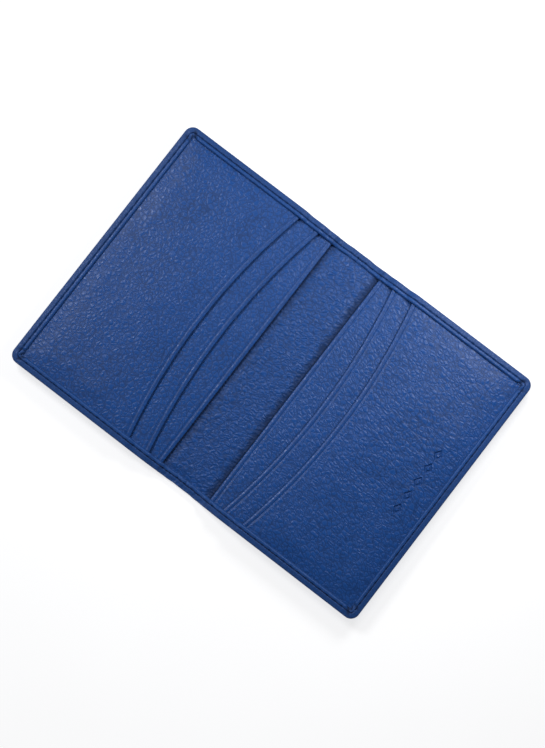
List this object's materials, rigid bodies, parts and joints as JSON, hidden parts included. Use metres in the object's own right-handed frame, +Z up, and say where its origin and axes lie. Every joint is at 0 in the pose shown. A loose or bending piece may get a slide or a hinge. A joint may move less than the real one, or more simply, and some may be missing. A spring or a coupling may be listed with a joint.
{
  "type": "bifold card holder",
  "caption": "Open bifold leather card holder: two wings of nested card pockets with arched mouths, a stitched turned hem and a soft spine that folds shut.",
  "frame": {"origin": "on the underside, at the middle of the fold", "axes": "+X across the fold towards the right wing, +Y along the fold, +Z up out of the open inside"},
  "size_m": [0.145, 0.1, 0.0072],
  "materials": {
    "cover_leather": "pebbled navy blue, satin",
    "pocket_leather": "pebbled mid blue, satin",
    "centre_leather": "wrinkled mid blue, satin",
    "lining_fabric": "plain woven dark blue",
    "backing_board": "bonded leather board, raw",
    "thread": "waxed navy polyester"
  },
  "bodies": {
    "left_wing": {"left_cover": "cover_leather", "left_backing_board": "backing_board", "left_lining": "lining_fabric", "left_centre_lining": "centre_leather", "left_rear_pocket_cloth": "lining_fabric", "left_rear_pocket_facing": "pocket_leather", "left_middle_pocket_cloth": "lining_fabric", "left_middle_pocket_facing": "pocket_leather", "left_front_pocket_cloth": "lining_fabric", "left_front_pocket_panel": "pocket_leather", "left_edge_stitching": "thread", "left_floor_stitching": "thread"},
    "spine": {"spine_cover": "cover_leather", "spine_centre_lining": "centre_leather", "spine_edge_stitching": "thread"},
    "right_wing": {"right_cover": "cover_leather", "right_backing_board": "backing_board", "right_lining": "lining_fabric", "right_centre_lining": "centre_leather", "right_rear_pocket_cloth": "lining_fabric", "right_rear_pocket_facing": "pocket_leather", "right_middle_pocket_cloth": "lining_fabric", "right_middle_pocket_facing": "pocket_leather", "right_front_pocket_cloth": "lining_fabric", "right_front_pocket_panel": "pocket_leather", "right_edge_stitching": "thread", "right_floor_stitching": "thread"}
  },
  "joints": [
    {"name": "left_fold", "type": "hinge", "parent": "left_wing", "child": "spine", "pos_m": [-0.00493, 0, 0.00245], "axis": [0, -1, 0], "range_deg": [0, 90]},
    {"name": "right_fold", "type": "hinge", "parent": "spine", "child": "right_wing", "pos_m": [0.00493, 0, 0.00245], "axis": [0, -1, 0], "range_deg": [0, 90]}
  ]
}
